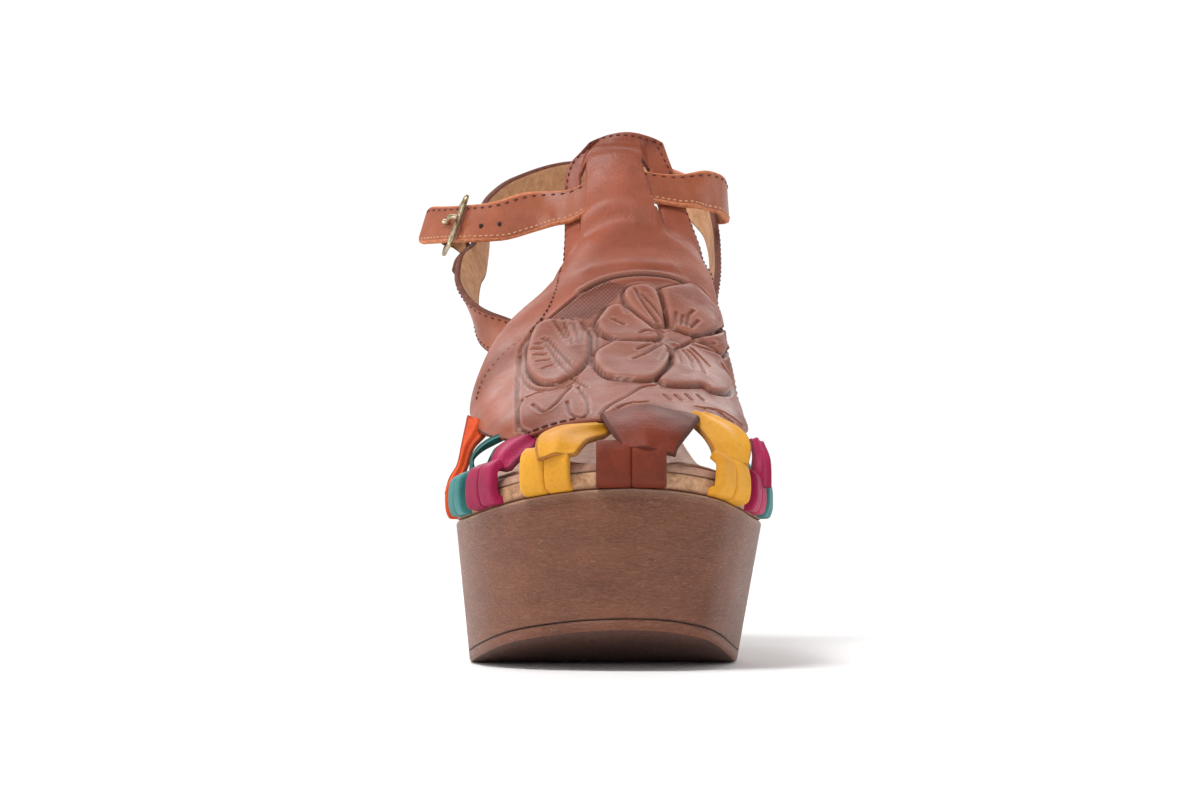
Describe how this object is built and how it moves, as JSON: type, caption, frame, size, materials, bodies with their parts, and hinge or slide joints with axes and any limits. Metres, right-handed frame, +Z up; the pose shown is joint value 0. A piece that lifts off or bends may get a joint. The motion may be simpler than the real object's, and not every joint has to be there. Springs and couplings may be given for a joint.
{
  "type": "platform sandal with a wooden sole",
  "caption": "Open-toe platform sandal for the right foot: block-heeled wooden sole, tooled leather vamp with tall tongue, looped lacing strips, slingback and buckled ankle strap.",
  "frame": {"origin": "on the floor under the ball of the foot, on the flat spot of the outsole", "axes": "+Z up; the toe points to -Y and the heel to +Y; +X is the inner side of the right foot"},
  "size_m": [0.1142, 0.2347, 0.1712],
  "materials": {
    "wood": "stained, satin, fine grained",
    "outsole_rubber": "matt, textured",
    "insole_leather": "natural tan, slightly rough",
    "vamp_leather": "tooled, oiled, satin",
    "strap_leather": "smooth outside, tan inside, satin",
    "lace_brown": "smooth, dyed",
    "lace_yellow": "smooth, dyed",
    "lace_magenta": "smooth, dyed",
    "lace_teal": "smooth, dyed",
    "lace_orange": "smooth, dyed",
    "buckle_brass": "antique, worn"
  },
  "bodies": {
    "root": {"wood_sole": "wood", "outsole": "outsole_rubber", "heel_top_lift": "outsole_rubber", "insole_board": "insole_leather", "insole_sock": "insole_leather", "vamp": "vamp_leather", "heel_harness": "strap_leather", "ankle_strap": "strap_leather", "buckle_tab": "strap_leather", "lace_toe_brown": "lace_brown", "lace_lateral_yellow": "lace_yellow", "lace_medial_yellow": "lace_yellow", "lace_lateral_magenta": "lace_magenta", "lace_medial_magenta": "lace_magenta", "lace_lateral_teal": "lace_teal", "lace_medial_teal": "lace_teal", "lace_lateral_orange": "lace_orange", "lace_medial_orange": "lace_orange", "buckle_frame": "buckle_brass", "buckle_prong": "buckle_brass"}
  },
  "joints": []
}
